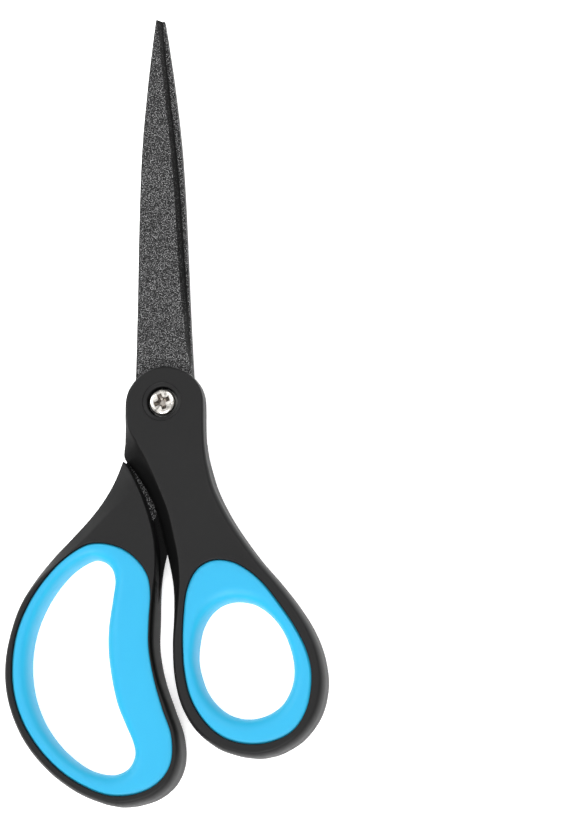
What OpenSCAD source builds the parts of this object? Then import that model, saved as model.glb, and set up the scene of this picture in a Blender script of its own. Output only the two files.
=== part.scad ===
// Office scissors with black handles and blue soft-grip finger loops.
// Frame: the scissors lie flat and closed. +Z is up and is the pivot axis, the
// blades point along +Y, and the origin is on the pivot axis at the height of
// the surface the scissors lie on. The front half is the upper one.
// The blades rub on each other at the plane z = mid_z.

/* [Overall] */
// Height of the plane between the two blades
mid_z = 6; // [6:0.1:6.4]
// Half thickness of the black rim of each loop
rim_half = 6; // [5.6:0.1:6]
// Height of the boss face above or below the blade plane
boss_h = 4.8; // [4.4:0.1:5]

/* [Blades] */
// Thickness of each steel blade
blade_t = 1.8; // [1.4:0.1:2]
// Length from the pivot to the blade tip
blade_len = 108.8; // [95:0.2:112]
// Gap between each blade and the blade plane
blade_gap = 0.05; // [0.03:0.01:0.08]
// Thickness left at the cutting edge
edge_t = 0.25; // [0.1:0.05:0.4]

/* [Pivot] */
// Diameter of the barrel that the front half turns on
barrel_d = 6; // [5:0.1:6.2]
// Radial running clearance between the barrel and the front blade
run_fit = 0.05; // [0.03:0.01:0.09]
// Diameter of the screw head
head_d = 7.1; // [6.6:0.1:7.4]
// Diameter of the screw shank
shank_d = 4; // [3:0.1:4.2]
// Diameter of the well around the screw head
well_d = 8.3; // [8.2:0.1:9]
// Diameter of the shallow ring around the well
ring_d = 10.7; // [10:0.1:11.5]

/* [Soft grips] */
// Half thickness of the soft grip at its crown
grip_half = 5.45; // [5:0.05:5.5]
// Width over which the soft grip falls away towards the hole
grip_round = 4; // [3:0.1:6]
// Depth of the tongue that holds the soft grip
tongue = 1.5; // [1:0.1:1.8]

/* [Hidden] */
$fn = 64;
inner = 0.15;                 // handles stay this far from the blade plane
sub = 3;                      // spline points from one control point to the next
bt = blade_gap + blade_t;     // far face of a blade, from the blade plane
bs = blade_len / 108.8;

// ---- curves -------------------------------------------------------------
function cr(a, b, c, d, t) =
    0.5 * (2 * b + (c - a) * t + (2 * a - 5 * b + 4 * c - d) * t * t
        + (3 * b - a - 3 * c + d) * t * t * t);
// closed curve through the points
function closed(p, m = sub) = let (n = len(p))
    [for (i = [0 : n - 1], k = [0 : m - 1])
        cr(p[(i + n - 1) % n], p[i], p[(i + 1) % n], p[(i + 2) % n], k / m)];
// open curve through the points
function open(p, m = sub) = let (n = len(p))
    [for (i = [0 : n - 2], k = [0 : (i == n - 2 ? m : m - 1)])
        cr(p[max(i - 1, 0)], p[i], p[i + 1], p[min(i + 2, n - 1)], k / m)];
function unit(v) = v / norm(v);
function rev(p) = [for (i = [len(p) - 1 : -1 : 0]) p[i]];

// ---- skins --------------------------------------------------------------
// rows of points, each row one closed section; loop = true joins the last to the first
module skin(rows, loop = false) {
    n = len(rows);
    m = len(rows[0]);
    pts = [for (r = rows) each r];
    last = loop ? n - 1 : n - 2;
    sides = [for (i = [0 : last], k = [0 : m - 1])
        let (i2 = (i + 1) % n, k2 = (k + 1) % m,
             a = i * m + k, b = i * m + k2, c = i2 * m + k2, d = i2 * m + k)
        each [[a, b, c], [a, c, d]]];
    caps = loop ? [] : [
        [for (k = [m - 1 : -1 : 0]) k],
        [for (k = [0 : m - 1]) (n - 1) * m + k]];
    polyhedron(points = pts, faces = concat(sides, caps), convexity = 8);
}
function at(p, z) = [p[0], p[1], z];

// ---- loop outlines: soft-grip edge and hole -------------------------------
// rear finger loop, anticlockwise from the inner side
R_GRIP = [[-4.1, -66], [-4, -59], [-3.5, -51.5], [-4.6, -46], [-8.6, -41], [-14, -38.1],
    [-20.5, -37.7], [-27, -41.3], [-32.6, -46.8], [-37, -53.2], [-40, -60.3],
    [-41.3, -68], [-41, -76], [-38.7, -83.7], [-34.7, -90.5], [-29.3, -96.5],
    [-23, -101], [-15.5, -104.1], [-8, -104], [-2, -101.3], [1.5, -96.2],
    [1.7, -89], [-0.6, -82], [-2.8, -74]];
R_HOLE = [[-15.9, -66], [-15.7, -59.5], [-14.5, -52], [-13.9, -47.5], [-14.9, -44],
    [-17.6, -41.9], [-21, -41.6], [-26.2, -44.5], [-31, -49.7], [-34.4, -55.5],
    [-36.6, -61.7], [-37.5, -68.5], [-36.9, -75.8], [-34.7, -82.6], [-31.2, -88.5],
    [-26.5, -93.5], [-21, -97.2], [-15, -98.6], [-10.8, -97.2], [-8.9, -94],
    [-9.3, -90.5], [-11.5, -85.3], [-13.6, -80], [-15.1, -73]];
// front thumb loop, anticlockwise from the outer side
F_GRIP = [[39.1, -75], [38, -68.5], [35, -62], [31, -55.8], [26.6, -50], [22, -46],
    [17.5, -43.8], [12.8, -43.6], [8.8, -46], [6.3, -51], [5.3, -57.5], [4.9, -65],
    [5.3, -73], [7, -80], [10.6, -86], [15.4, -90.1], [21.5, -92], [28, -91.7],
    [34, -88.9], [37.8, -83]];
F_HOLE = [[33.9, -73.5], [33.3, -68.5], [31.3, -63], [28, -58.5], [24, -55.5],
    [20.3, -54.4], [17, -54.4], [14, -55.4], [11.3, -57.6], [9.3, -61], [8.3, -65],
    [8, -69.5], [8.8, -73.6], [10.4, -77.8], [13.3, -81.6], [17, -84.2],
    [21.7, -85.3], [26.4, -84.5], [30.5, -82], [33, -78]];

// ---- handle outlines -------------------------------------------------------
// Rows from the boss end to the far end of the loop. Each row: left edge x, y,
// right edge x, y, then width, depth and facet share of the edge treatment at the
// top left, top right, bottom left and bottom right.
F_BODY = [
    [-1.1, 9.62, 2.1, 9.62, 0.9, 1.1, 0, 0.9, 1.1, 0, 1.2, 1.3, 0, 1.2, 1.3, 0],
    [-4.1, 8.65, 5.1, 8.65, 0.9, 1.1, 0, 0.9, 1.1, 0, 1.2, 1.3, 0, 1.2, 1.3, 0],
    [-6.9, 6.8, 8.05, 6.8, 0.9, 1.1, 0, 0.9, 1.1, 0, 1.2, 1.3, 0, 1.2, 1.3, 0],
    [-9.1, 3.95, 10.2, 3.95, 0.9, 1.1, 0, 0.8, 1, 0, 1.2, 1.3, 0, 1.2, 1.3, 0],
    [-10.05, 0.98, 11.15, 0.98, 0.9, 1.1, 0, 0.7, 0.9, 0, 1.2, 1.3, 0, 1.2, 1.3, 0],
    [-10.25, -2.5, 11.3, -2.5, 1, 1.2, 0.1, 0.7, 0.9, 0, 1.2, 1.3, 0, 1.2, 1.3, 0],
    [-10.5, -6.2, 11.25, -6.2, 1.5, 2.2, 0.7, 0.7, 0.9, 0, 1.2, 1.3, 0, 1.2, 1.3, 0],
    [-11, -10.1, 11.3, -10.3, 4.4, 3.9, 1, 0.8, 1, 0, 1.2, 1.3, 0, 3.2, 4.4, 0.3],
    [-11.25, -14.2, 11.6, -14.2, 6, 4.2, 1, 1, 1.2, 0, 1.2, 1.3, 0, 3.2, 4.4, 0.3],
    [-8.6, -17.8, 12.2, -17.9, 5.2, 4.3, 1, 1.1, 1.4, 0, 1.2, 1.3, 0, 2.5, 3.4, 0.2],
    [-4.8, -24, 13.85, -24.2, 4, 4.5, 1, 1.3, 1.7, 0, 1.2, 1.3, 0, 1.7, 2.1, 0],
    [-2, -31, 17.2, -31.3, 3.9, 4.8, 1, 1.4, 2.1, 0, 1.2, 1.3, 0, 1.5, 2.1, 0],
    [-0.5, -37.5, 21.4, -38, 3.9, 5.1, 1, 1.5, 2.6, 0, 1.2, 1.6, 0, 1.5, 2.6, 0],
    [0.8, -43.5, 25.6, -43.8, 3.7, 5.2, 1, 1.5, 3.2, 0, 1.3, 2.4, 0, 1.5, 3.2, 0],
    [1.9, -50, 30.5, -49.7, 2.9, 4.8, 0.7, 1.5, 3.7, 0, 1.5, 3.4, 0, 1.5, 3.7, 0],
    [2.2, -57, 35.2, -56, 2, 4.2, 0.3, 1.5, 4, 0, 1.5, 4, 0, 1.5, 4, 0],
    [1.9, -65, 39.2, -62.8, 1.5, 4, 0, 1.5, 4, 0, 1.5, 4, 0, 1.5, 4, 0],
    [2.2, -73.3, 41.7, -70, 1.5, 4, 0, 1.5, 4, 0, 1.5, 4, 0, 1.5, 4, 0],
    [3.9, -81, 42.3, -77.5, 1.5, 4, 0, 1.5, 4, 0, 1.5, 4, 0, 1.5, 4, 0],
    [7.7, -87.8, 40.3, -85, 1.5, 4, 0, 1.5, 4, 0, 1.5, 4, 0, 1.5, 4, 0],
    [13.3, -92.6, 35.6, -91, 1.5, 4, 0, 1.5, 4, 0, 1.5, 4, 0, 1.5, 4, 0],
    [18.5, -94.7, 30, -94.3, 1.5, 4, 0, 1.5, 4, 0, 1.5, 4, 0, 1.5, 4, 0],
    [22.6, -95.4, 26, -95.3, 1.5, 4, 0, 1.5, 4, 0, 1.5, 4, 0, 1.5, 4, 0]];
R_BODY = [
    [-1.5, 9.3, 1.5, 9.3, 1.2, 1.3, 0, 1.2, 1.3, 0, 1.2, 1.3, 0, 1.2, 1.3, 0],
    [-4.3, 8.4, 4.3, 8.4, 1.2, 1.3, 0, 1.2, 1.3, 0, 1.2, 1.3, 0, 1.2, 1.3, 0],
    [-6.7, 6.7, 6.7, 6.7, 1.2, 1.3, 0, 1.2, 1.3, 0, 1.2, 1.3, 0, 1.2, 1.3, 0],
    [-8.6, 4.1, 8.6, 4.1, 1.2, 1.3, 0, 1.2, 1.3, 0, 1.2, 1.3, 0, 1.2, 1.3, 0],
    [-9.4, 1.2, 9.4, 1.2, 1.2, 1.3, 0, 1.2, 1.3, 0, 1.2, 1.3, 0, 1.2, 1.3, 0],
    [-9.7, -3, 9.55, -2, 1.2, 1.3, 0, 1.2, 1.3, 0, 1.2, 1.3, 0, 1.3, 1.4, 0.1],
    [-9.9, -8, 9.5, -6, 1.4, 1.3, 0.2, 1.2, 1.3, 0, 1.2, 1.3, 0, 2, 2.4, 0.7],
    [-10.15, -13, 9.1, -10, 5, 1.3, 0.8, 1.2, 1.3, 0, 1.2, 1.3, 0, 3, 3.8, 1],
    [-11.8, -17.2, 8.2, -14, 8.4, 1.9, 1, 1.2, 1.3, 0, 1.2, 1.3, 0, 4, 4.2, 1],
    [-13.8, -21.5, 6.9, -18.8, 6.1, 2.3, 1, 1.2, 1.3, 0, 1.2, 1.4, 0, 4.8, 4.4, 1],
    [-16.8, -26.3, 5.1, -24.6, 4.6, 2.6, 1, 1.2, 1.3, 0, 1.3, 1.5, 0, 5.3, 4.7, 1],
    [-20.3, -30.7, 2.9, -31, 3.8, 2.6, 1, 1.2, 1.3, 0, 1.4, 1.9, 0, 5.5, 5, 1],
    [-24.9, -35.5, 0.9, -37.5, 3.6, 2.6, 1, 1.2, 1.6, 0, 1.5, 2.5, 0, 4.8, 5.2, 1],
    [-30.4, -40.9, -0.8, -43.5, 2.9, 2.8, 0.8, 1.1, 2, 0, 1.5, 3.2, 0, 4.1, 5.2, 1],
    [-35.3, -46.4, -2, -50, 1.9, 3.6, 0.4, 0.9, 2.6, 0, 1.5, 3.8, 0, 2.2, 4.4, 0.6],
    [-39.4, -52.9, -2.8, -58, 1.5, 4, 0, 0.8, 3, 0, 1.5, 4, 0, 0.8, 3, 0],
    [-42, -59.8, -3, -66, 1.5, 4, 0, 0.8, 3, 0, 1.5, 4, 0, 0.8, 3, 0],
    [-43.6, -67.5, -1.6, -74, 1.5, 4, 0, 0.8, 3, 0, 1.5, 4, 0, 0.8, 3, 0],
    [-43.5, -75.5, 1, -81.8, 1.5, 4, 0, 0.9, 3.2, 0, 1.5, 4, 0, 0.9, 3.2, 0],
    [-41.4, -83.4, 3.4, -89, 1.5, 4, 0, 1.1, 3.6, 0, 1.5, 4, 0, 1.1, 3.6, 0],
    [-37.4, -91, 3.7, -96, 1.5, 4, 0, 1.3, 4, 0, 1.5, 4, 0, 1.3, 4, 0],
    [-31.2, -98, 1.3, -101.5, 1.5, 4, 0, 1.4, 4, 0, 1.5, 4, 0, 1.4, 4, 0],
    [-24, -103.2, -3, -105, 1.5, 4, 0, 1.5, 4, 0, 1.5, 4, 0, 1.5, 4, 0],
    [-17.5, -106, -8, -106.6, 1.5, 4, 0, 1.5, 4, 0, 1.5, 4, 0, 1.5, 4, 0],
    [-14, -106.9, -11.2, -107, 1.5, 4, 0, 1.5, 4, 0, 1.5, 4, 0, 1.5, 4, 0]];
// lines where each handle drops from full thickness to the thin neck; the rear
// one is as seen with that half turned over
F_STEP = [[12.8, -8], [11.7, -10.6], [10.7, -13.6], [9.4, -17.2], [7.6, -22], [5.9, -27.5],
    [4.4, -33], [3.3, -38.5], [2.6, -43.5], [1.6, -47.5]];
R_STEP = [[13.6, -14.2], [11.95, -14.8], [10.6, -16], [9.4, -17.7], [8.4, -19.6], [7.15, -22],
    [5.9, -24.8], [4.6, -28.4], [3.5, -32], [2.5, -36.2], [2, -40.2], [1.9, -43.5], [2.05, -47], [2.3, -50.5],
    [2.5, -54]];

// ---- handle bodies ---------------------------------------------------------
// height of the handle faces above or below the blade plane
function face(y) = let (t = max(0, min(1, (-8 - y) / 34)))
    boss_h + (rim_half - boss_h) * t * t * (3 - 2 * t);
// edge treatment: share of the width, share of the depth; round and faceted
ROUND = [[1, 0], [0.46, 0.13], [0.12, 0.48], [0, 1]];
SLOPE = [[1, 0], [0.86, 0.07], [0.05, 0.94], [0, 1]];
// edge chain from the face out to the side wall; s is 1 above and -1 below
function chain(o, v, w, d, m, s) = [for (k = [0 : 3])
    let (e = ROUND[k] + (SLOPE[k] - ROUND[k]) * min(max(m, 0), 1), p = o + v * w * e[0])
    at(p, s * (face(p[1]) - d * e[1]))];
FAR = [0.2, 0.5, 0.8];
module body(rows) {
    rr = open(rows);
    n = len(rr);
    // whole outline, to take the inward directions from
    out = concat([for (r = rr) [r[0], r[1]]], [for (i = [n - 1 : -1 : 0]) [rr[i][2], rr[i][3]]]);
    m = len(out);
    nrm = [for (i = [0 : m - 1]) let (t = unit(out[(i + 4) % m] - out[(i + m - 4) % m])) [-t[1], t[0]]];
    sec = [for (i = [0 : n - 1])
        let (r = rr[i], ol = out[i], og = out[m - 1 - i], vl = nrm[i], vr = nrm[m - 1 - i],
             tl = chain(ol, vl, r[4], r[5], r[6], 1), tr = chain(og, vr, r[7], r[8], r[9], 1),
             bl = chain(ol, vl, r[10], r[11], r[12], -1), br = chain(og, vr, r[13], r[14], r[15], -1))
        concat(tl, rev(bl),
            [for (k = FAR) let (p = bl[0] + (br[0] - bl[0]) * k) at(p, -face(p[1]))],
            br, rev(tr),
            [for (k = rev(FAR)) let (p = tl[0] + (tr[0] - tl[0]) * k) at(p, face(p[1]))])];
    q = len(sec[0]);
    pts = [for (r = sec) each r];
    sides = [for (i = [0 : n - 2], k = [0 : q - 1])
        let (k2 = (k + 1) % q, a = i * q + k, b = i * q + k2, c = (i + 1) * q + k2, d = (i + 1) * q + k)
        each [[a, b, c], [a, c, d]]];
    // end faces: strips between the left and the right edge chains
    lid = concat([for (k = [17 : 20]) [1, k, k + 1]], [[1, 21, 0]],
        [for (k = [1 : 5]) each [[k, k + 1, 17 - k], [k, 17 - k, 18 - k]]],
        [for (k = [7 : 11]) [6, k, k + 1]]);
    l0 = [for (t = lid) [t[2], t[1], t[0]]];
    l1 = [for (t = lid) [for (j = t) j + (n - 1) * q]];
    polyhedron(points = pts, faces = concat(sides, l0, l1), convexity = 8);
}
// everything below the blade plane, beyond the step line
module step_cut(line) {
    y = line[len(line) - 1][1] - 0.5;
    translate([0, 0, -10]) linear_extrude(10 + inner)
        polygon(concat(open(line), [[0.4, y], [-40, y], [-40, 30], [40, 30], [40, line[0][1]]]));
}
// opening for the soft grip, with the tongue left standing at mid height
module grip_window(g, h) {
    gg = closed(g);
    hh = closed(h);
    translate([0, 0, 1.1]) linear_extrude(7) polygon(gg);
    translate([0, 0, -8.1]) linear_extrude(7) polygon(gg);
    translate([0, 0, -8]) linear_extrude(16)
        polygon([for (i = [0 : len(gg) - 1]) gg[i] + unit(hh[i] - gg[i]) * tongue]);
}
// fall towards the hole: share of its width, depth below the crown
LIP = [[1, 0], [0.62, 0.25], [0.3, 1.05], [0.09, 2.5], [0, 4.4]];
module soft_grip(g, h) {
    gg = closed(g);
    hh = closed(h);
    fit = 0.05;
    skin([for (i = [0 : len(gg) - 1])
        let (b = gg[i], l = norm(hh[i] - b), w = (hh[i] - b) / l, r = min(grip_round, 0.75 * l),
             q = grip_half)
        concat(
            [at(b + w * fit, q - 0.75), at(b + w * 0.35, q - 0.25),
             at(b + w * (0.35 + (l - r - 0.35) * 0.45), q)],
            [for (p = LIP) at(hh[i] - w * r * p[0], q - p[1])],
            [for (p = rev(LIP)) at(hh[i] - w * r * p[0], p[1] - q)],
            [at(b + w * (0.35 + (l - r - 0.35) * 0.45), -q),
             at(b + w * 0.35, 0.25 - q), at(b + w * fit, 0.75 - q),
             at(b + w * fit, -1.15), at(b + w * (tongue + fit), -1.15),
             at(b + w * (tongue + fit), 1.15), at(b + w * fit, 1.15)])],
        loop = true);
}

// ---- blades --------------------------------------------------------------
// front blade outline: spine on the left, cutting edge on the right, tang below
SPINE = [[-1, 108.8], [-1.9, 102.5], [-2.75, 96], [-3.6, 89], [-5.1, 74.3], [-5.95, 60],
    [-6.55, 43], [-6.95, 29], [-7.35, 17], [-7.7, 8], [-8.2, 0]];
EDGE = [[8.2, 0], [7.7, 8], [7, 17.5], [6.5, 29], [5.7, 43], [4.8, 60], [3.6, 74],
    [1.95, 91], [0.75, 104.5], [0.7, 108.6]];
TANG = [[9.2, -8], [9.8, -16], [11, -24], [12.8, -30.5], [13.6, -34.2], [11.8, -36.9], [8.2, -36.4],
    [4.4, -32.6], [0.4, -25], [-3.4, -17], [-6.9, -8]];
function up(p) = [p[0], p[1] > 0 ? p[1] * bs : p[1]];
module blade_outline() {
    polygon(concat([for (p = open(SPINE, 3)) up(p)], open(rev(TANG), 2),
        [for (p = open(EDGE, 3)) up(p)]));
}
// ground bevel along the cutting edge: rows across, from the boss to the tip
BEV_Y = [10, 17, 23, 30, 43, 60, 74, 91, 104.5, 112];
BEV_X = [7.3, 6.1, 5.8, 5, 4.2, 3.45, 2.4, 0.85, -0.3, -0.9];
BEV_E = [8, 7, 6.75, 6.45, 5.7, 4.8, 3.6, 1.95, 0.75, 0.4];
module bevel_cutter() {
    skin([for (i = [0 : len(BEV_Y) - 1])
        let (x = BEV_X[i], w = BEV_E[i] - x, y = BEV_Y[i] * bs, s = (bt - blade_gap - edge_t) / w)
        [[x, y, bt], [x + w + 2, y, bt - s * (w + 2)], [x + w + 2, y, bt + 1], [x - 0.01, y, bt + 1]]]);
}
// upper blade in place, blade plane at z = 0
module blade(bore) {
    difference() {
        translate([0, 0, blade_gap]) linear_extrude(blade_t) blade_outline();
        bevel_cutter();
        translate([0, 0, -1]) cylinder(d = bore, h = 4);
        translate([11.2, -33.6, -1]) cylinder(d = 3.6, h = 4);
        translate([4.2, -21, -1]) cylinder(d = 3.2, h = 4);
    }
}
// space the blade takes in its handle
module blade_seat() {
    difference() {
        linear_extrude(bt) blade_outline();
        translate([11.2, -33.6, -1]) cylinder(d = 3.6, h = 4);
        translate([4.2, -21, -1]) cylinder(d = 3.2, h = 4);
    }
}
module turned() { translate([0, 0, mid_z]) rotate([0, 180, 0]) children(); }
module raised() { translate([0, 0, mid_z]) children(); }

// ---- nodes ---------------------------------------------------------------
module front_blade() {
    color([0.27, 0.27, 0.28]) raised() blade(barrel_d + 2 * run_fit);
}
module front_handle() {
    color([0.12, 0.12, 0.13]) raised() difference() {
        body(F_BODY);
        grip_window(F_GRIP, F_HOLE);
        step_cut(F_STEP);
        blade_seat();
        cylinder(d = well_d, h = 10);
        translate([0, 0, boss_h - 0.35]) cylinder(d = ring_d, h = 4);
    }
}
module front_grip() {
    color([0.16, 0.68, 0.93]) raised() soft_grip(F_GRIP, F_HOLE);
}
module rear_blade() {
    color([0.25, 0.25, 0.26]) turned() blade(barrel_d + 0.04);
}
module rear_handle() {
    color([0.12, 0.12, 0.13]) difference() {
        raised() body(R_BODY);
        raised() grip_window(R_GRIP, R_HOLE);
        turned() step_cut(R_STEP);
        turned() blade_seat();
        cylinder(d = barrel_d + 0.04, h = 20, center = true);
    }
}
module rear_grip() {
    color([0.16, 0.68, 0.93]) raised() soft_grip(R_GRIP, R_HOLE);
}
module pivot_nut() {
    top = mid_z + bt + 0.1;
    color([0.75, 0.75, 0.76]) difference() {
        union() {
            rotate_extrude($fn = 96) polygon([[0, 0], [4.6, 0], [5.2, 0.45],
                [5.2, mid_z - boss_h], [0, mid_z - boss_h]]);
            cylinder(d = barrel_d, h = top);
        }
        translate([0, 0, 1.6]) cylinder(d = shank_d + 0.1, h = 20);
    }
}
module screw_washer() {
    color([0.2, 0.2, 0.21]) translate([0, 0, mid_z + bt + 0.1]) difference() {
        cylinder(d = well_d - 0.4, h = 0.5);
        translate([0, 0, -1]) cylinder(d = shank_d + 0.2, h = 3);
    }
}
module pivot_screw() {
    z0 = mid_z + bt + 0.6;
    hh = mid_z + boss_h - 0.1 - z0;
    r = head_d / 2;
    color([0.82, 0.82, 0.83]) difference() {
        union() {
            translate([0, 0, z0]) rotate_extrude($fn = 96) polygon([[0, 0], [r, 0],
                [r, hh * 0.5], [r - 0.12, hh * 0.68], [r - 0.45, hh * 0.83],
                [r - 1.1, hh * 0.94], [r - 2, hh], [0, hh]]);
            translate([0, 0, 2.2]) cylinder(d = shank_d, h = z0 - 2);
        }
        // cross recess
        translate([0, 0, z0 + hh - 1.1]) rotate([0, 0, 20]) {
            translate([-2.1, -0.45, 0]) cube([4.2, 0.9, 3]);
            translate([-0.45, -2.1, 0]) cube([0.9, 4.2, 3]);
        }
    }
}

rear_blade();
rear_handle();
rear_grip();
pivot_nut();
front_blade();
front_handle();
front_grip();
screw_washer();
pivot_screw();
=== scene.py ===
import bpy, math
from mathutils import Matrix, Vector
from mathutils.bvhtree import BVHTree


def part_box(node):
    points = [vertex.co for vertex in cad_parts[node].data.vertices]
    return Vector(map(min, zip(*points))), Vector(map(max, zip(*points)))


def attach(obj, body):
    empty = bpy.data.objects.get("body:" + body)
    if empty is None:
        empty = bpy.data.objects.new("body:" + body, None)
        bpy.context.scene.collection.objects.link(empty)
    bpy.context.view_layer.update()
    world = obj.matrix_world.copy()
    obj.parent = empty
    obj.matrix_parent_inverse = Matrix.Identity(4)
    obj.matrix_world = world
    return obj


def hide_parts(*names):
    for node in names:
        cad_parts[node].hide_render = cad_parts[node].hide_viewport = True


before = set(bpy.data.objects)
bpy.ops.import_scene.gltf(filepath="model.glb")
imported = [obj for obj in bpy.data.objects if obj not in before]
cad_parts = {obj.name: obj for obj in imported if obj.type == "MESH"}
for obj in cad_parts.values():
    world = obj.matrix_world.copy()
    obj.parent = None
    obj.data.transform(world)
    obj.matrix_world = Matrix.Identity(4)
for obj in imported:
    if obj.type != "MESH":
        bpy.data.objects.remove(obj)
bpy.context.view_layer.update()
scene = bpy.context.scene
lo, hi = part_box("front_handle")
MID = (lo.z + hi.z) / 2 * 1000          # blade plane above the floor, mm
RIM = (hi.z - lo.z) / 2 * 1000          # half thickness of the loops, mm

# ---------------------------------------------------------------------------
# shared outlines, in millimetres, blade plane at z = 0 (the CAD model's own points)
# ---------------------------------------------------------------------------
R_GRIP = [[-4.1, -66], [-4, -59], [-3.5, -51.5], [-4.6, -46], [-8.6, -41], [-14, -38.1],
    [-20.5, -37.7], [-27, -41.3], [-32.6, -46.8], [-37, -53.2], [-40, -60.3],
    [-41.3, -68], [-41, -76], [-38.7, -83.7], [-34.7, -90.5], [-29.3, -96.5],
    [-23, -101], [-15.5, -104.1], [-8, -104], [-2, -101.3], [1.5, -96.2],
    [1.7, -89], [-0.6, -82], [-2.8, -74]]
R_HOLE = [[-15.9, -66], [-15.7, -59.5], [-14.5, -52], [-13.9, -47.5], [-14.9, -44],
    [-17.6, -41.9], [-21, -41.6], [-26.2, -44.5], [-31, -49.7], [-34.4, -55.5],
    [-36.6, -61.7], [-37.5, -68.5], [-36.9, -75.8], [-34.7, -82.6], [-31.2, -88.5],
    [-26.5, -93.5], [-21, -97.2], [-15, -98.6], [-10.8, -97.2], [-8.9, -94],
    [-9.3, -90.5], [-11.5, -85.3], [-13.6, -80], [-15.1, -73]]
F_GRIP = [[39.1, -75], [38, -68.5], [35, -62], [31, -55.8], [26.6, -50], [22, -46],
    [17.5, -43.8], [12.8, -43.6], [8.8, -46], [6.3, -51], [5.3, -57.5], [4.9, -65],
    [5.3, -73], [7, -80], [10.6, -86], [15.4, -90.1], [21.5, -92], [28, -91.7],
    [34, -88.9], [37.8, -83]]
F_HOLE = [[33.9, -73.5], [33.3, -68.5], [31.3, -63], [28, -58.5], [24, -55.5],
    [20.3, -54.4], [17, -54.4], [14, -55.4], [11.3, -57.6], [9.3, -61], [8.3, -65],
    [8, -69.5], [8.8, -73.6], [10.4, -77.8], [13.3, -81.6], [17, -84.2],
    [21.7, -85.3], [26.4, -84.5], [30.5, -82], [33, -78]]
F_BODY = [
    [-1.1, 9.62, 2.1, 9.62, 0.9, 1.1, 0, 0.9, 1.1, 0, 1.2, 1.3, 0, 1.2, 1.3, 0],
    [-4.1, 8.65, 5.1, 8.65, 0.9, 1.1, 0, 0.9, 1.1, 0, 1.2, 1.3, 0, 1.2, 1.3, 0],
    [-6.9, 6.8, 8.05, 6.8, 0.9, 1.1, 0, 0.9, 1.1, 0, 1.2, 1.3, 0, 1.2, 1.3, 0],
    [-9.1, 3.95, 10.2, 3.95, 0.9, 1.1, 0, 0.8, 1, 0, 1.2, 1.3, 0, 1.2, 1.3, 0],
    [-10.05, 0.98, 11.15, 0.98, 0.9, 1.1, 0, 0.7, 0.9, 0, 1.2, 1.3, 0, 1.2, 1.3, 0],
    [-10.25, -2.5, 11.3, -2.5, 1, 1.2, 0.1, 0.7, 0.9, 0, 1.2, 1.3, 0, 1.2, 1.3, 0],
    [-10.5, -6.2, 11.25, -6.2, 1.5, 2.2, 0.7, 0.7, 0.9, 0, 1.2, 1.3, 0, 1.2, 1.3, 0],
    [-11, -10.1, 11.3, -10.3, 4.4, 3.9, 1, 0.8, 1, 0, 1.2, 1.3, 0, 3.2, 4.4, 0.3],
    [-11.25, -14.2, 11.6, -14.2, 6, 4.2, 1, 1, 1.2, 0, 1.2, 1.3, 0, 3.2, 4.4, 0.3],
    [-8.6, -17.8, 12.2, -17.9, 5.2, 4.3, 1, 1.1, 1.4, 0, 1.2, 1.3, 0, 2.5, 3.4, 0.2],
    [-4.8, -24, 13.85, -24.2, 4, 4.5, 1, 1.3, 1.7, 0, 1.2, 1.3, 0, 1.7, 2.1, 0],
    [-2, -31, 17.2, -31.3, 3.9, 4.8, 1, 1.4, 2.1, 0, 1.2, 1.3, 0, 1.5, 2.1, 0],
    [-0.5, -37.5, 21.4, -38, 3.9, 5.1, 1, 1.5, 2.6, 0, 1.2, 1.6, 0, 1.5, 2.6, 0],
    [0.8, -43.5, 25.6, -43.8, 3.7, 5.2, 1, 1.5, 3.2, 0, 1.3, 2.4, 0, 1.5, 3.2, 0],
    [1.9, -50, 30.5, -49.7, 2.9, 4.8, 0.7, 1.5, 3.7, 0, 1.5, 3.4, 0, 1.5, 3.7, 0],
    [2.2, -57, 35.2, -56, 2, 4.2, 0.3, 1.5, 4, 0, 1.5, 4, 0, 1.5, 4, 0],
    [1.9, -65, 39.2, -62.8, 1.5, 4, 0, 1.5, 4, 0, 1.5, 4, 0, 1.5, 4, 0],
    [2.2, -73.3, 41.7, -70, 1.5, 4, 0, 1.5, 4, 0, 1.5, 4, 0, 1.5, 4, 0],
    [3.9, -81, 42.3, -77.5, 1.5, 4, 0, 1.5, 4, 0, 1.5, 4, 0, 1.5, 4, 0],
    [7.7, -87.8, 40.3, -85, 1.5, 4, 0, 1.5, 4, 0, 1.5, 4, 0, 1.5, 4, 0],
    [13.3, -92.6, 35.6, -91, 1.5, 4, 0, 1.5, 4, 0, 1.5, 4, 0, 1.5, 4, 0],
    [18.5, -94.7, 30, -94.3, 1.5, 4, 0, 1.5, 4, 0, 1.5, 4, 0, 1.5, 4, 0],
    [22.6, -95.4, 26, -95.3, 1.5, 4, 0, 1.5, 4, 0, 1.5, 4, 0, 1.5, 4, 0]]
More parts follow.
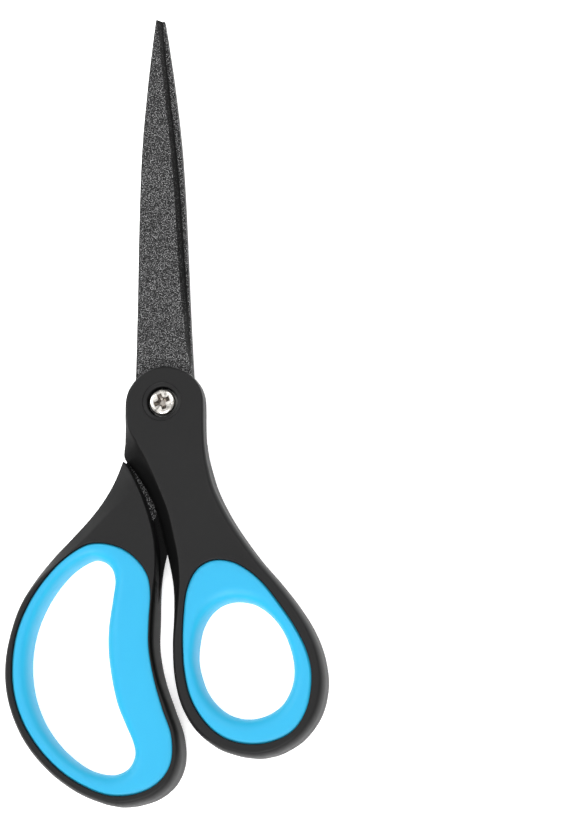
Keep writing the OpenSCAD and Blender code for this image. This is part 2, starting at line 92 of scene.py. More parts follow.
R_BODY = [
    [-1.5, 9.3, 1.5, 9.3, 1.2, 1.3, 0, 1.2, 1.3, 0, 1.2, 1.3, 0, 1.2, 1.3, 0],
    [-4.3, 8.4, 4.3, 8.4, 1.2, 1.3, 0, 1.2, 1.3, 0, 1.2, 1.3, 0, 1.2, 1.3, 0],
    [-6.7, 6.7, 6.7, 6.7, 1.2, 1.3, 0, 1.2, 1.3, 0, 1.2, 1.3, 0, 1.2, 1.3, 0],
    [-8.6, 4.1, 8.6, 4.1, 1.2, 1.3, 0, 1.2, 1.3, 0, 1.2, 1.3, 0, 1.2, 1.3, 0],
    [-9.4, 1.2, 9.4, 1.2, 1.2, 1.3, 0, 1.2, 1.3, 0, 1.2, 1.3, 0, 1.2, 1.3, 0],
    [-9.7, -3, 9.55, -2, 1.2, 1.3, 0, 1.2, 1.3, 0, 1.2, 1.3, 0, 1.3, 1.4, 0.1],
    [-9.9, -8, 9.5, -6, 1.4, 1.3, 0.2, 1.2, 1.3, 0, 1.2, 1.3, 0, 2, 2.4, 0.7],
    [-10.15, -13, 9.1, -10, 5, 1.3, 0.8, 1.2, 1.3, 0, 1.2, 1.3, 0, 3, 3.8, 1],
    [-11.8, -17.2, 8.2, -14, 8.4, 1.9, 1, 1.2, 1.3, 0, 1.2, 1.3, 0, 4, 4.2, 1],
    [-13.8, -21.5, 6.9, -18.8, 6.1, 2.3, 1, 1.2, 1.3, 0, 1.2, 1.4, 0, 4.8, 4.4, 1],
    [-16.8, -26.3, 5.1, -24.6, 4.6, 2.6, 1, 1.2, 1.3, 0, 1.3, 1.5, 0, 5.3, 4.7, 1],
    [-20.3, -30.7, 2.9, -31, 3.8, 2.6, 1, 1.2, 1.3, 0, 1.4, 1.9, 0, 5.5, 5, 1],
    [-24.9, -35.5, 0.9, -37.5, 3.6, 2.6, 1, 1.2, 1.6, 0, 1.5, 2.5, 0, 4.8, 5.2, 1],
    [-30.4, -40.9, -0.8, -43.5, 2.9, 2.8, 0.8, 1.1, 2, 0, 1.5, 3.2, 0, 4.1, 5.2, 1],
    [-35.3, -46.4, -2, -50, 1.9, 3.6, 0.4, 0.9, 2.6, 0, 1.5, 3.8, 0, 2.2, 4.4, 0.6],
    [-39.4, -52.9, -2.8, -58, 1.5, 4, 0, 0.8, 3, 0, 1.5, 4, 0, 0.8, 3, 0],
    [-42, -59.8, -3, -66, 1.5, 4, 0, 0.8, 3, 0, 1.5, 4, 0, 0.8, 3, 0],
    [-43.6, -67.5, -1.6, -74, 1.5, 4, 0, 0.8, 3, 0, 1.5, 4, 0, 0.8, 3, 0],
    [-43.5, -75.5, 1, -81.8, 1.5, 4, 0, 0.9, 3.2, 0, 1.5, 4, 0, 0.9, 3.2, 0],
    [-41.4, -83.4, 3.4, -89, 1.5, 4, 0, 1.1, 3.6, 0, 1.5, 4, 0, 1.1, 3.6, 0],
    [-37.4, -91, 3.7, -96, 1.5, 4, 0, 1.3, 4, 0, 1.5, 4, 0, 1.3, 4, 0],
    [-31.2, -98, 1.3, -101.5, 1.5, 4, 0, 1.4, 4, 0, 1.5, 4, 0, 1.4, 4, 0],
    [-24, -103.2, -3, -105, 1.5, 4, 0, 1.5, 4, 0, 1.5, 4, 0, 1.5, 4, 0],
    [-17.5, -106, -8, -106.6, 1.5, 4, 0, 1.5, 4, 0, 1.5, 4, 0, 1.5, 4, 0],
    [-14, -106.9, -11.2, -107, 1.5, 4, 0, 1.5, 4, 0, 1.5, 4, 0, 1.5, 4, 0]]
F_STEP = [[12.8, -8], [11.7, -10.6], [10.7, -13.6], [9.4, -17.2], [7.6, -22], [5.9, -27.5],
    [4.4, -33], [3.3, -38.5], [2.6, -43.5], [1.6, -47.5]]
R_STEP = [[13.6, -14.2], [11.95, -14.8], [10.6, -16], [9.4, -17.7], [8.4, -19.6], [7.15, -22],
    [5.9, -24.8], [4.6, -28.4], [3.5, -32], [2.5, -36.2], [2, -40.2], [1.9, -43.5], [2.05, -47], [2.3, -50.5],
    [2.5, -54]]
SPINE = [[-1, 108.8], [-1.9, 102.5], [-2.75, 96], [-3.6, 89], [-5.1, 74.3], [-5.95, 60],
    [-6.55, 43], [-6.95, 29], [-7.35, 17], [-7.7, 8], [-8.2, 0]]
EDGE = [[8.2, 0], [7.7, 8], [7, 17.5], [6.5, 29], [5.7, 43], [4.8, 60], [3.6, 74],
    [1.95, 91], [0.75, 104.5], [0.7, 108.6]]
TANG = [[9.2, -8], [9.8, -16], [11, -24], [12.8, -30.5], [13.6, -34.2], [11.8, -36.9], [8.2, -36.4],
    [4.4, -32.6], [0.4, -25], [-3.4, -17], [-6.9, -8]]

# the relief's crease runs a touch straighter here than the CAD model's coarser rows need
for row in F_BODY:
    if row[1] == -10.1:
        row[4] = 4.0
# one extra short row at each end rounds the ends off
F_BODY.insert(0, [0.2, 9.74, 0.8, 9.74] + F_BODY[0][4:])
R_BODY.insert(0, [-0.3, 9.42, 0.3, 9.42] + R_BODY[0][4:])
F_BODY.append([24, -95.47, 24.8, -95.46] + F_BODY[-1][4:])
R_BODY.append([-13, -107.02, -12.3, -107.04] + R_BODY[-1][4:])
BOSS, BT, GAP, EDGE_T, INNER = 4.8, 1.85, 0.05, 0.25, 0.15
BARREL, WELL, RING, HEAD, SHANK = 6.0, 8.3, 10.7, 7.1, 4.0
GRIP, GRIP_R, TONGUE = 5.45, 4.0, 1.5


def cr(a, b, c, d, t):
    return [0.5 * (2 * q + (r - p) * t + (2 * p - 5 * q + 4 * r - s) * t * t
                   + (3 * q - p - 3 * r + s) * t ** 3) for p, q, r, s in zip(a, b, c, d)]


def closed(p, m):
    n = len(p)
    return [cr(p[i - 1], p[i], p[(i + 1) % n], p[(i + 2) % n], k / m)
            for i in range(n) for k in range(m)]


def run(p, m):
    n = len(p)
    return [cr(p[max(i - 1, 0)], p[i], p[i + 1], p[min(i + 2, n - 1)], k / m)
            for i in range(n - 1) for k in range(m + (i == n - 2))]


def face(y):
    t = max(0.0, min(1.0, (-8 - y) / 34))
    return BOSS + (RIM - BOSS) * t * t * (3 - 2 * t)


def unit(x, y):
    n = math.hypot(x, y) or 1
    return x / n, y / n


# ---------------------------------------------------------------------------
# meshes
# ---------------------------------------------------------------------------
def new_object(name, verts, faces):
    me = bpy.data.meshes.new(name)
    me.from_pydata([tuple(v) for v in verts], [], faces)
    me.validate()
    me.update()
    ob = bpy.data.objects.new(name, me)
    scene.collection.objects.link(ob)
    return ob


def tidy(ob, dist=1e-4):
    import bmesh
    bm = bmesh.new()
    bm.from_mesh(ob.data)
    bmesh.ops.remove_doubles(bm, verts=bm.verts, dist=dist)
    bmesh.ops.dissolve_degenerate(bm, edges=bm.edges, dist=dist)
    bmesh.ops.recalc_face_normals(bm, faces=bm.faces)
    bm.to_mesh(ob.data)
    bm.free()
    ob.data.update()
    return ob


def grid(rows, loop=False, caps=True):
    """Rows of closed sections to verts and faces."""
    n, m = len(rows), len(rows[0])
    verts = [v for r in rows for v in r]
    faces = [(i * m + k, i * m + (k + 1) % m, (i + 1) % n * m + (k + 1) % m, (i + 1) % n * m + k)
             for i in range(n if loop else n - 1) for k in range(m)]
    if not loop and caps:
        faces += [tuple(range(m - 1, -1, -1)), tuple((n - 1) * m + k for k in range(m))]
    return verts, faces


def lathe(name, profile, seg=96):
    """Closed profile of (radius, z) turned about the pivot axis."""
    rows = [[(r * math.cos(a), r * math.sin(a), z) for r, z in profile]
            for a in (2 * math.pi * i / seg for i in range(seg))]
    return tidy(new_object(name, *grid(rows, loop=True)))


def prism(name, outline, z0, z1):
    rows = [[(x, y, z) for x, y in outline] for z in (z0, z1)]
    return tidy(new_object(name, *grid(rows)))


def cut(ob, *cutters):
    for c in cutters:
        m = ob.modifiers.new("cut", "BOOLEAN")
        m.operation, m.solver, m.object = "DIFFERENCE", "EXACT", c
    dg = bpy.context.evaluated_depsgraph_get()
    me = bpy.data.meshes.new_from_object(ob.evaluated_get(dg))
    assert len(me.polygons) > 8, ob.name + " was cut away"
    ob.modifiers.clear()
    ob.data = me
    for c in cutters:
        bpy.data.objects.remove(c)
    return ob


def turn(ob):
    ob.data.transform(Matrix.Rotation(math.pi, 4, "Y"))
    return ob


def place(ob, body, slot, *nodes, angle=32):
    """Up to the blade plane, into metres, smooth, riding on its body in place of its CAD node."""
    ob.data.transform(Matrix.Scale(0.001, 4) @ Matrix.Translation((0, 0, MID)))
    ob.data.shade_smooth()
    ob.data.set_sharp_from_angle(angle=math.radians(angle))
    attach(ob, body)
    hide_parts(*nodes)
    return ob


# edge treatments: share of the width inward, share of the depth down
N = 13
ROUND = [(1 - math.sin(math.pi / 2 * k / (N - 1)), 1 - math.cos(math.pi / 2 * k / (N - 1))) for k in range(N)]
SLOPE = [(1.0, 0.0), (0.955, 0.008), (0.905, 0.032), (0.85, 0.075)] + [
    (0.85 - 0.78 * k / 6, 0.075 + 0.84 * k / 6) for k in range(1, 7)] + [(0.045, 0.95), (0.015, 0.975), (0, 1)]
FAR = [k / 8 for k in range(1, 8)]


def handle_body(rows, m=8):
    rr = run(rows, m)
    n = len(rr)
    out = [(r[0], r[1]) for r in rr] + [(r[2], r[3]) for r in reversed(rr)]
    k = len(out)
    nrm = []
    for i in range(k):
        a, b = out[i - 11], out[(i + 11) % k]
        x, y = unit(b[0] - a[0], b[1] - a[1])
        nrm.append((-y, x))

    def chain(o, v, w, d, mix, s):
        mix = min(max(mix, 0), 1)
        pts = []
        for e, f in zip(ROUND, SLOPE):
            u, g = e[0] + (f[0] - e[0]) * mix, e[1] + (f[1] - e[1]) * mix
            x, y = o[0] + v[0] * w * u, o[1] + v[1] * w * u
            pts.append((x, y, s * (face(y) - d * g)))
        return pts

    secs = []
    for i, r in enumerate(rr):
        ol, orr, vl, vr = out[i], out[k - 1 - i], nrm[i], nrm[k - 1 - i]
        tl, tr = chain(ol, vl, *r[4:7], 1), chain(orr, vr, *r[7:10], 1)
        bl, br = chain(ol, vl, *r[10:13], -1), chain(orr, vr, *r[13:16], -1)

        def between(a, b, s, share):
            pts = []
            for t in share:
                y = a[1] + (b[1] - a[1]) * t
                pts.append((a[0] + (b[0] - a[0]) * t, y, s * face(y)))
            return pts
        secs.append(tl + bl[::-1] + between(bl[0], br[0], -1, FAR) + br + tr[::-1]
                    + between(tl[0], tr[0], 1, FAR[::-1]))
    q, f = len(secs[0]), len(FAR)
    verts = [v for s in secs for v in s]
    faces = [(i * q + a, i * q + (a + 1) % q, (i + 1) * q + (a + 1) % q, (i + 1) * q + a)
             for i in range(n - 1) for a in range(q)]
    top = 4 * N + f - 1
    lid = [tuple([1, top - 1, top] + list(range(top + 1, q)) + [0])]
    lid += [(j, j + 1, top - j - 1, top - j) for j in range(1, 2 * N - 2)]
    lid += [tuple([2 * N - 2] + list(range(2 * N - 1, 2 * N + f + 2)))]
    faces += lid + [tuple(a + (n - 1) * q for a in reversed(c)) for c in lid]
    return verts, faces


def height(tree, x, y, s):
    """Height of the handle's surface at x, y, on its upper (s 1) or lower (s -1) side."""
    hit = tree.ray_cast(Vector((x, y, 30.0 * s)), Vector((0, 0, -s)))[0]
    return None if hit is None else abs(hit.z)


ARC = [math.radians(a) for a in (0, 20, 40, 60, 80)]


def window_cutter(grip, hole, tree, r=0.32):
    """The soft grip's opening, with a rounded mouth and a tongue left standing at mid height."""
    g, h = closed(grip, 8), closed(hole, 8)
    rows = []
    for a, b in zip(g, h):
        wx, wy = unit(b[0] - a[0], b[1] - a[1])
        t = height(tree, a[0] - wx * 0.2, a[1] - wy * 0.2, 1) or RIM
        u = height(tree, a[0] - wx * 0.2, a[1] - wy * 0.2, -1) or RIM
        arc = [(r * (1 - math.cos(c)), r * (1 - math.sin(c))) for c in ARC]
        pro = [(r, -9)] + [(d, -u + z) for d, z in reversed(arc)] + [(0, -1.1), (-TONGUE, -1.1),
               (-TONGUE, 1.1), (0, 1.1)] + [(d, t - z) for d, z in arc] + [(r, 9)]
        rows.append([(a[0] - wx * d, a[1] - wy * d, z) for d, z in pro])
    verts, m, n = [v for row in rows for v in row], len(rows[0]), len(rows)
    faces = [(i * m + k, i * m + k + 1, (i + 1) % n * m + k + 1, (i + 1) % n * m + k)
             for i in range(n) for k in range(m - 1)]
    faces += [tuple(i * m for i in range(n)), tuple(i * m + m - 1 for i in reversed(range(n)))]
    return tidy(new_object("window", verts, faces))


def step_cutter(tree, side, r=0.4):
    """Takes the lower half away beyond the step line, with a rounded brow. side -1 is for the
    turned (rear) handle, whose step is on top."""
    line = F_STEP if side > 0 else R_STEP
    line = run(line, 8) + [[0.4, line[-1][1] - 0.5]]
    rows, last = [], 5.4
    for i, p in enumerate(line):
        a, b = line[max(i - 1, 0)], line[min(i + 1, len(line) - 1)]
        x, y = unit(b[0] - a[0], b[1] - a[1])
        nx, ny = -y, x                       # into the material that stays
        hx, hy = p[0] + nx * 0.3, p[1] + ny * 0.3
        h = height(tree, side * hx, hy, -side)
        last = h if h else last
        arc = [(r * (1 - math.cos(c)), r * (1 - math.sin(c))) for c in ARC]
        wall = [(0, INNER)] + [(d, -last + z) for d, z in arc] + [(r, -10)]
        wall = [(p[0] + nx * d, p[1] + ny * d, z) for d, z in wall]
        fans = [0, 45, 90, 135, 180] if i == 0 else [180]
        for f in fans:
            fx, fy = 70 * math.cos(math.radians(f)), 70 * math.sin(math.radians(f))
            rows.append(wall + [(p[0] + fx, p[1] + fy, -10), (p[0] + fx, p[1] + fy, INNER)])
    return tidy(new_object("step", *grid(rows)))


def blade_outline(m):
    return run(SPINE, m) + run(TANG[::-1], m)[::1] + run(EDGE, m)


def blade_seat():
    pegs = [lathe("peg", [(0, -1), (d / 2, -1), (d / 2, 4), (0, 4)], 32) for d in (3.6, 3.2)]
    for p, at in zip(pegs, ((11.2, -33.6), (4.2, -21))):
        p.data.transform(Matrix.Translation((at[0], at[1], 0)))
    return cut(prism("seat", blade_outline(4), -0.5, BT), *pegs)


def handle(name, rows, grip, hole, side):
    verts, faces = handle_body(rows)
    tree = BVHTree.FromPolygons(verts, faces)
    ob = tidy(new_object(name, verts, faces))
    step, seat = step_cutter(tree, 1 if side > 0 else -1), blade_seat()
    if side < 0:
        turn(step), turn(seat)
    tools = [window_cutter(grip, hole, tree), step, seat]
    if side > 0:
        b = BOSS
        tools.append(lathe("well", [(0, -1), (WELL / 2, -1), (WELL / 2, b - 0.75), (WELL / 2 + 0.1, b - 0.5),
                                    (WELL / 2 + 0.35, b - 0.38), (RING / 2 - 0.3, b - 0.32),
                                    (RING / 2 - 0.1, b - 0.24), (RING / 2, b - 0.12), (RING / 2 + 0.06, b - 0.02),
                                    (RING / 2 + 0.12, b + 1), (0, b + 1)]))
    else:
        tools.append(lathe("bore", [(0, -9), (BARREL / 2 + 0.02, -9), (BARREL / 2 + 0.02, 9), (0, 9)]))
    return cut(ob, *tools)


LIP = run([[1, 0], [0.81, 0.06], [0.62, 0.25], [0.45, 0.57], [0.3, 1.05], [0.18, 1.7], [0.09, 2.5], [0.03, 3.4], [0, 4.4]], 3)


def grip_ring(name, grip, hole):
    g, h = closed(grip, 8), closed(hole, 8)
    rows = []
    for b, e in zip(g, h):
        l = math.hypot(e[0] - b[0], e[1] - b[1])
        wx, wy = unit(e[0] - b[0], e[1] - b[1])
        r, f, q = min(GRIP_R, 0.75 * l), 0.05, GRIP
        c = 0.35 + (l - r - 0.35) * 0.45
        top = [(f, 1.15), (f, q - 0.75), (f + 0.03, q - 0.56), (0.2, q - 0.4), (0.38, q - 0.26)]
        for k in range(1, 7):                # gentle crown
            t = k / 6
            top.append((0.38 + (c - 0.38) * t, q - 0.26 * (1 - t) ** 2.4))
        top += [(l - r * u, q - d) for u, d in LIP]
        pro = [(TONGUE + f, 0), (TONGUE + f, 1.15)] + top + [(l, 0)]
        low = [(d, -z) for d, z in reversed(pro[1:-1])]
        rows.append([(b[0] + wx * d, b[1] + wy * d, z) for d, z in pro + low])
    return tidy(new_object(name, *grid(rows, loop=True)))


BEV_Y = [10, 17, 23, 30, 43, 60, 74, 91, 104.5, 112]
BEV_X = [7.3, 6.1, 5.8, 5, 4.2, 3.45, 2.4, 0.85, -0.3, -0.9]
BEV_E = [8, 7, 6.75, 6.45, 5.7, 4.8, 3.6, 1.95, 0.75, 0.4]


def blade(name, bore, side):
    ob = prism(name, blade_outline(6), GAP, BT)
    rows = []
    for y, x, e in run([list(t) for t in zip(BEV_Y, BEV_X, BEV_E)], 6):
        w = e - x
        s = (BT - GAP - EDGE_T) / w
        rows.append([(x, y, BT), (x + w + 2, y, BT - s * (w + 2)), (x + w + 2, y, BT + 1), (x - 0.01, y, BT + 1)])
    tools = [tidy(new_object("grind", *grid(rows)))]
    for d, x, y in ((bore, 0, 0), (3.6, 11.2, -33.6), (3.2, 4.2, -21)):
        c = lathe("hole", [(0, -1), (d / 2, -1), (d / 2, 4), (0, 4)], 64)
        c.data.transform(Matrix.Translation((x, y, 0)))
        tools.append(c)
    cut(ob, *tools)
    m = ob.modifiers.new("edge", "BEVEL")
    m.width, m.segments, m.limit_method, m.angle_limit = 0.07, 2, "ANGLE", math.radians(50)
    m.use_clamp_overlap = True
    dg = bpy.context.evaluated_depsgraph_get()
    me = bpy.data.meshes.new_from_object(ob.evaluated_get(dg))
    ob.modifiers.clear()
    ob.data = me
    return turn(ob) if side < 0 else ob


def cross(reach, half):
    """Outline of a cross recess with eased inner corners."""
    pts = []
    for k in range(4):
        c, s = math.cos(math.pi / 2 * k), math.sin(math.pi / 2 * k)
        for x, y in ((reach - 0.08, -half), (reach, -half * 0.55), (reach, half * 0.55), (reach - 0.08, half),
                     (half * 1.9, half), (half * 1.3, half * 1.3)):
            pts.append((x * c - y * s, x * s + y * c))
        pts[-1:] = [(half * 1.3 * (c - s), half * 1.3 * (s + c)), (half * (c - 1.9 * s), half * (s + 1.9 * c))]
    return pts


def screw():
    z0 = 7.95 + 0.5 - MID
    top = BOSS - 0.1
    h = top - z0
    r = HEAD / 2
    dome = [(r - 0.12, z0), (r - 0.03, z0 + 0.06), (r, z0 + 0.2), (r, z0 + h * 0.6)]
    for k in range(1, 13):
        a = math.pi / 2 * k / 12
        dome.append((r - 1.1 * (1 - math.cos(a)) if k < 12 else 2.3, z0 + h * (0.6 + 0.4 * math.sin(a))))
    head = [(0, 2.2 - MID), (SHANK / 2 - 0.3, 2.2 - MID), (SHANK / 2, 2.5 - MID), (SHANK / 2, z0)] + dome + [(0, top)]
    ob = lathe("pivot_screw_head", head, 128)
    rows = []
    for z, reach, half in ((top + 1, 2.5, 0.9), (top, 2.2, 0.64), (top - 0.3, 2.0, 0.52), (top - 1.1, 1.6, 0.42),
                           (top - 1.6, 0.9, 0.3)):
        rows.append([(x, y, z) for x, y in cross(reach, half)])
    drive = tidy(new_object("drive", *grid(rows)))
    drive.data.transform(Matrix.Rotation(math.radians(20), 4, "Z"))
    return cut(ob, drive)


def washer():
    z0, r, i = 7.95 - MID, WELL / 2 - 0.2, SHANK / 2 + 0.1
    return lathe("screw_washer_ring", [(i + 0.06, z0), (r - 0.08, z0), (r, z0 + 0.08), (r, z0 + 0.4), (r - 0.1, z0 + 0.49),
                                       (i + 0.1, z0 + 0.49), (i, z0 + 0.4), (i, z0 + 0.06)], 96)


def nut():
    z, b = -MID, BARREL / 2
    return lathe("pivot_nut_barrel", [(0, z), (4.55, z), (4.75, z + 0.03), (4.95, z + 0.12), (5.12, z + 0.28),
                                      (5.2, z + 0.5), (5.2, z + 1.1), (5.12, z + 1.19), (b + 0.1, z + 1.2), (b, z + 1.3),
                                      (b, 7.85 - MID), (b - 0.1, 7.95 - MID), (2.15, 7.95 - MID), (2.05, 7.85 - MID),
                                      (2.05, 1.6 - MID), (0, 1.6 - MID)], 128)


# ---------------------------------------------------------------------------
# materials
# ---------------------------------------------------------------------------
class Nodes:
    def __init__(self, name):
        self.mat = bpy.data.materials.new(name)
        self.mat.use_nodes = True
        self.t = self.mat.node_tree
        self.bsdf = self.t.nodes["Principled BSDF"]
        self.at = self.t.nodes.new("ShaderNodeTexCoord").outputs["Object"]

    def put(self, **k):
        for a, v in k.items():
            s = self.bsdf.inputs[a.replace("_", " ")]
            if hasattr(v, "is_output"):
                self.t.links.new(v, s)
            else:
                s.default_value = v

    def link(self, a, b):
        self.t.links.new(a, b)

    def stretch(self, x, y, z, rot=0.0):
        n = self.t.nodes.new("ShaderNodeMapping")
        n.inputs["Scale"].default_value = (x, y, z)
        n.inputs["Rotation"].default_value = (0, 0, rot)
        self.link(self.at, n.inputs["Vector"])
        return n.outputs[0]

    def noise(self, scale, detail=3, rough=0.5, vec=None, warp=0.0):
        n = self.t.nodes.new("ShaderNodeTexNoise")
        n.inputs["Scale"].default_value = scale
        n.inputs["Detail"].default_value = detail
        n.inputs["Roughness"].default_value = rough
        n.inputs["Distortion"].default_value = warp
        self.link(vec or self.at, n.inputs["Vector"])
        return n.outputs["Fac"]

    def cells(self, scale, feature="F1", vec=None):
        n = self.t.nodes.new("ShaderNodeTexVoronoi")
        n.feature = feature
        n.inputs["Scale"].default_value = scale
        self.link(vec or self.at, n.inputs["Vector"])
        return n

    def ramp(self, fac, *stops):
        n = self.t.nodes.new("ShaderNodeValToRGB")
        e = n.color_ramp.elements
        while len(e) < len(stops):
            e.new(0.5)
        for i, (p, c) in enumerate(stops):
            e[i].position = p
            e[i].color = (c, c, c, 1) if not hasattr(c, "__len__") else (*c, 1)
        self.link(fac, n.inputs[0])
        return n.outputs[0]

    def span(self, fac, a, b, lo=0.0, hi=1.0):
        n = self.t.nodes.new("ShaderNodeMapRange")
        for s, v in zip(n.inputs[1:5], (lo, hi, a, b)):
            s.default_value = v
        self.link(fac, n.inputs[0])
        return n.outputs[0]

    def maths(self, op, a, b=0.0, c=0.0):
        n = self.t.nodes.new("ShaderNodeMath")
        n.operation = op
        for s, v in zip(n.inputs, (a, b, c)):
            if hasattr(v, "is_output"):
                self.link(v, s)
            else:
                s.default_value = v
        return n.outputs[0]

    def mix(self, fac, a, b, mode="MIX"):
        n = self.t.nodes.new("ShaderNodeMix")
        n.data_type, n.blend_type = "RGBA", mode
        for s, v in zip((n.inputs[0], n.inputs[6], n.inputs[7]), (fac, a, b)):
            if hasattr(v, "is_output"):
                self.link(v, s)
            else:
                s.default_value = v if not hasattr(v, "__len__") else (*v, 1)[:4]
        return n.outputs[2]

    def bump(self, *layers):
        """Each layer is (height, strength, distance in metres)."""
        prev = None
        for h, s, d in layers:
            n = self.t.nodes.new("ShaderNodeBump")
            n.inputs["Strength"].default_value = s
            n.inputs["Distance"].default_value = d
            self.link(h, n.inputs["Height"])
            if prev:
                self.link(prev, n.inputs["Normal"])
            prev = n.outputs[0]
        self.link(prev, self.bsdf.inputs["Normal"])


def black_plastic():
    m = Nodes("black_plastic")
    grain = m.noise(5200, 3, 0.6)
    broad = m.noise(38, 4, 0.55)
    smear = m.noise(90, 4, 0.6, m.stretch(1, 0.35, 1, 0.4), 0.6)
    col = m.mix(broad, (0.006, 0.006, 0.0061), (0.0088, 0.0088, 0.009))
    col = m.mix(m.span(grain, 0, 0.35, 0.55, 0.8), col, (0.016, 0.016, 0.0163))
    slit_shade = m.t.nodes.new("ShaderNodeAttribute")          # painted shade: 1 on the faces down between the halves, where the colour is darkened and the specular lowered in place of real shade
    slit_shade.attribute_name = "slit_shade"
    slit_shade = slit_shade.outputs["Fac"]
    # painted shade: the colour goes towards black on the faces marked for the slit
    col = m.mix(m.maths("MULTIPLY", slit_shade, 0.6), col, (0, 0, 0))
    rough = m.maths("ADD", m.span(smear, 0.42, 0.54), m.span(grain, -0.03, 0.03))
    m.put(Base_Color=col, Roughness=rough, Specular_IOR_Level=m.span(slit_shade, 0.125, 0.055))
    m.bump((m.noise(1500, 2), 0.12, 0.00004), (grain, 0.35, 0.00003))
    return m.mat


def blue_rubber():
    m = Nodes("blue_rubber")
    grain = m.noise(4200, 3, 0.6)
    broad = m.noise(45, 3, 0.5)
    col = m.mix(broad, (0.008, 0.24, 0.41), (0.011, 0.258, 0.435))
    col = m.mix(m.span(grain, 0, 0.25, 0.5, 0.8), col, (0.008, 0.215, 0.365))
    split = m.t.nodes.new("ShaderNodeSeparateXYZ")     # painted light: paler where it falls away to the hole, to offset the shade those steeper faces get
    m.link(m.t.nodes["Texture Coordinate"].outputs["Normal"], split.inputs[0])
    fall = m.span(m.maths("ABSOLUTE", split.outputs["Z"]), 1, 0, 0.6, 0.997)
    col = m.mix(fall, col, (0.013, 0.315, 0.49))
    m.put(Base_Color=col, Roughness=m.span(m.noise(160, 3), 0.46, 0.58), Specular_IOR_Level=0.3,
          Subsurface_Weight=0.12, Subsurface_Radius=(0.0006, 0.0012, 0.0022), Subsurface_Scale=1.0)
    m.put(Sheen_Weight=0.04, Sheen_Roughness=0.5)
    m.bump((m.noise(1300, 2), 0.1, 0.00005), (grain, 0.3, 0.00003))
    return m.mat


def speckled_coat():
    m = Nodes("speckled_coat")
    fine = m.noise(4200, 2, 0.6)
    spots = m.cells(3100)
    spots.inputs["Randomness"].default_value = 0.7
    dot = m.span(spots.outputs["Distance"], 1, 0, 0.12, 0.55)
    mixed = m.maths("MULTIPLY", dot, m.span(spots.outputs["Color"], 0.4, 1))
    pale = m.ramp(mixed, (0.2, 0.0), (0.5, 0.3), (0.85, 1.0))
    broad = m.noise(60, 3, 0.5)
    col = m.mix(pale, (0.003, 0.003, 0.0032), (0.46, 0.46, 0.464))
    col = m.mix(m.span(broad, 0, 0.12), col, (0.024, 0.024, 0.025))
    m.put(Base_Color=col, Metallic=0.2, Roughness=m.span(fine, 0.45, 0.65), Specular_IOR_Level=0.12)
    m.bump((mixed, 0.8, 0.00008), (fine, 0.3, 0.00003))
    return m.mat


def ground_bevel():
    m = Nodes("ground_bevel")
    lines = m.noise(900, 4, 0.65, m.stretch(1, 9, 1))
    spots = m.cells(2900)
    dot = m.span(spots.outputs["Distance"], 1, 0, 0.1, 0.5)
    mixed = m.maths("MULTIPLY", dot, m.span(spots.outputs["Color"], 0.1, 1))
    col = m.mix(m.span(mixed, 0, 1, 0.1, 0.7), (0.002, 0.002, 0.002), (0.075, 0.075, 0.076))
    # painted shade: near black within about 1 mm of the blade plane, standing in for the shadow line along the cutting
    # edge
    split = m.t.nodes.new("ShaderNodeSeparateXYZ")
    m.link(m.at, split.inputs[0])
    rise = m.maths("ABSOLUTE", m.maths("SUBTRACT", split.outputs["Z"], MID / 1000))
    col = m.mix(m.span(rise, 0, 1, 0.0006, 0.001), (0.0008, 0.0008, 0.0008), col)
    m.put(Base_Color=col, Metallic=0.15, Roughness=m.span(lines, 0.4, 0.55), Specular_IOR_Level=0.1)
    m.bump((lines, 0.25, 0.00003), (mixed, 0.5, 0.00006))
    return m.mat


def nickel(name, col, r0, r1, turned=True):
    m = Nodes(name)
    sc = m.noise(700, 5, 0.7, m.stretch(1, 1, 1), 1.5)
    pit = m.noise(2600, 3, 0.6)
    base = m.mix(m.span(m.noise(480, 4, 0.6, None, 0.8), 0, 1, 0.47, 0.64), col, tuple(c * 0.3 for c in col))
    m.put(Base_Color=base, Metallic=1.0, Roughness=m.span(sc, r0, r1))
    m.bump((pit, 0.2, 0.00004), (sc, 0.3, 0.00008))
    return m.mat


# ---------------------------------------------------------------------------
# the scissors
# ---------------------------------------------------------------------------
plastic, rubber, coat, grind = black_plastic(), blue_rubber(), speckled_coat(), ground_bevel()
nickel_plate = nickel("nickel_plate", (0.74, 0.71, 0.665), 0.12, 0.28)
recess_nickel = nickel("recess_nickel", (0.36, 0.33, 0.3), 0.2, 0.4)
dark_steel = nickel("dark_steel", (0.1, 0.1, 0.1), 0.35, 0.5)
nut_steel = nickel("nut_steel", (0.6, 0.6, 0.61), 0.26, 0.42)


def ease(v, a, b):
    t = min(max((v - a) / (b - a), 0), 1)
    return t * t * (3 - 2 * t)


def paint_slit_shade(ob, side):
    """Paints shade onto the faces down in the slit between the halves, which are the darkest: the value darkens the
    plastic's colour there in place of real shade.
    """
    layer = ob.data.attributes.new("slit_shade", "FLOAT", "FACE")
    for p, slot in zip(ob.data.polygons, layer.data):
        n, c = p.normal, p.center
        d = ease(c.y, -70, -52) * ease(-c.y, 3, 9) * ease(-n.x * side, 0.3, 0.45) * ease(n.z * side, 0.08, 0.16) * (
            c.x * side > -12)
        if side < 0:
            # painted shade too on the rear's flat inner face by the tang and on the rear loop's side that faces the
            # front loop
            if abs(c.z) < 0.3 and n.z > 0.5 and c.x < 8:
                d = max(d, ease(-c.y, 12, 22) * ease(c.y, -66, -54))
            d = max(d, ease(c.y, -88, -66) * ease(-c.y, 34, 46) * ease(n.x, 0.2, 0.4) * (n.z > -0.2) * (c.x > -6))
        slot.value = d


def coated(ob):
    """Coated faces, and the smoother ground ones along the cutting edge."""
    ob.data.materials.append(coat)
    ob.data.materials.append(grind)
    for p in ob.data.polygons:
        n = p.normal
        p.material_index = 1 if 0.1 < abs(n.z) < 0.985 and p.center.y > 9 and p.area > 0.4 else 0
    return ob


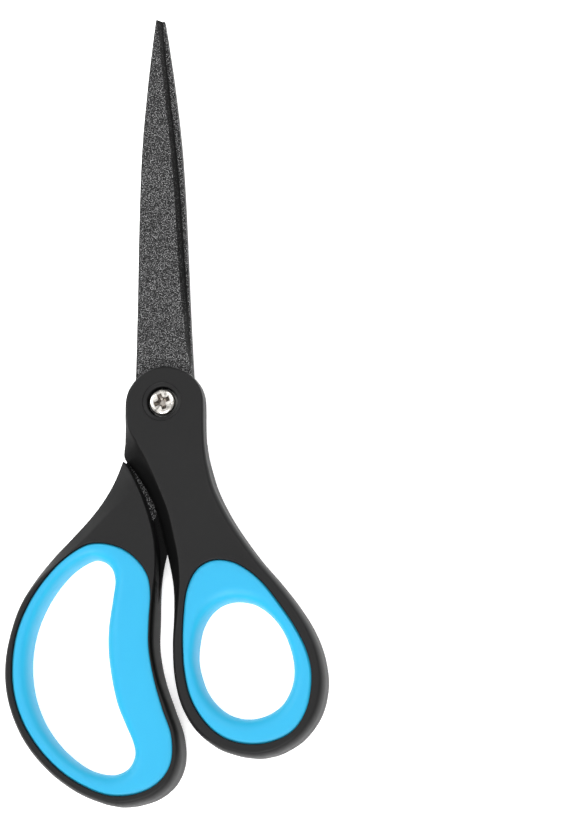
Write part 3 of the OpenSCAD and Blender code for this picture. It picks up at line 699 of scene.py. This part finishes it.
for part, half, rows, g, h, side in (("front", "front_half", F_BODY, F_GRIP, F_HOLE, 1),
                                     ("rear", "rear_half", R_BODY, R_GRIP, R_HOLE, -1)):
    ob = handle(part + "_handle_shell", rows, g, h, side)
    ob.data.materials.append(plastic)
    paint_slit_shade(ob, side)
    place(ob, half, "handle_plastic", part + "_handle")
    ob = grip_ring(part + "_grip_ring", g, h)
    ob.data.materials.append(rubber)
    place(ob, half, "grip_rubber", part + "_grip", angle=50)
    ob = coated(blade(part + "_blade_plate", BARREL + (0.1 if side > 0 else 0.04), side))
    place(ob, half, "blade_coating", part + "_blade", angle=25)

ob = screw()
ob.data.materials.append(nickel_plate)
ob.data.materials.append(recess_nickel)
for p in ob.data.polygons:                   # the darker nickel on the faces down in the cross
    c = p.center
    p.material_index = 1 if math.hypot(c.x, c.y) < 2.6 and 2.9 < c.z < BOSS - 0.13 and p.normal.z < 0.9 or (
        math.hypot(c.x, c.y) < 1.2 and 2.9 < c.z < BOSS - 0.5) else 0
place(ob, "screw", "screw_nickel", "pivot_screw")
ob = washer()
ob.data.materials.append(dark_steel)
place(ob, "rear_half", "washer_steel", "screw_washer")
ob = nut()
ob.data.materials.append(nut_steel)
place(ob, "rear_half", "nut_steel", "pivot_nut")

# ---------------------------------------------------------------------------
# floor, light and camera
# ---------------------------------------------------------------------------
bpy.ops.mesh.primitive_plane_add(size=6, location=(0, 0, -0.00002))
floor = bpy.context.object
floor.name = "floor"
m = Nodes("floor_white")
m.put(Base_Color=m.mix(m.noise(3, 3), (0.9, 0.9, 0.9), (0.92, 0.92, 0.92)), Roughness=0.85, Specular_IOR_Level=0.1,
      Emission_Color=(1, 1, 1, 1), Emission_Strength=0.4)
floor.data.materials.append(m.mat)

world = bpy.data.worlds.new("studio")
scene.world = world
world.use_nodes = True
wt = world.node_tree
coord = wt.nodes.new("ShaderNodeTexCoord")
split = wt.nodes.new("ShaderNodeSeparateXYZ")
wt.links.new(coord.outputs["Generated"], split.inputs[0])
sky = wt.nodes.new("ShaderNodeValToRGB")
for e, (p, c) in zip([sky.color_ramp.elements[0], sky.color_ramp.elements[1], sky.color_ramp.elements.new(0.5)],
                     ((0.0, 0.62), (1.0, 0.4), (0.5, 0.5))):
    e.position, e.color = p, (c, c, c, 1)
wt.links.new(split.outputs["Z"], sky.inputs[0])
wt.links.new(sky.outputs[0], wt.nodes["Background"].inputs[0])
wt.nodes["Background"].inputs[1].default_value = 1.2


def softbox(name, at, to, w, h, power):
    d = bpy.data.lights.new(name, "AREA")
    d.shape, d.size, d.size_y, d.energy = "RECTANGLE", w, h, power
    o = bpy.data.objects.new(name, d)
    o.location = at
    o.rotation_euler = (Vector(to) - Vector(at)).to_track_quat("-Z", "Y").to_euler()
    scene.collection.objects.link(o)


softbox("key", (0.35, 0.6, 1.1), (0, 0, 0), 0.7, 0.7, 8)
softbox("front", (0.0, -0.9, 0.85), (0, -0.03, 0), 0.9, 0.6, 17)
softbox("side", (-0.9, 0.35, 0.8), (0, 0, 0), 0.5, 0.8, 8)

cam_data = bpy.data.cameras.new("camera")
cam = bpy.data.objects.new("camera", cam_data)
scene.collection.objects.link(cam)
cam_data.sensor_fit = "HORIZONTAL"
cam_data.sensor_width = 36
cam_data.lens = 156.007
cam_data.clip_start, cam_data.clip_end = 0.01, 50
view = ((0.9846913190133877, -0.021314098785706295, -0.1729991776067975),
        (0.055080338810334396, 0.9796889927072806, 0.19280983855792483),
        (0.16537582210291163, -0.1993870275648529, 0.9658652342343826))
cam.matrix_world = Matrix.Translation((0.145454, -0.136698, 0.649936 + MID / 1000)) @ Matrix(view).transposed().to_4x4()
scene.camera = cam
scene.view_settings.view_transform = "Standard"
scene.view_settings.look = "None"
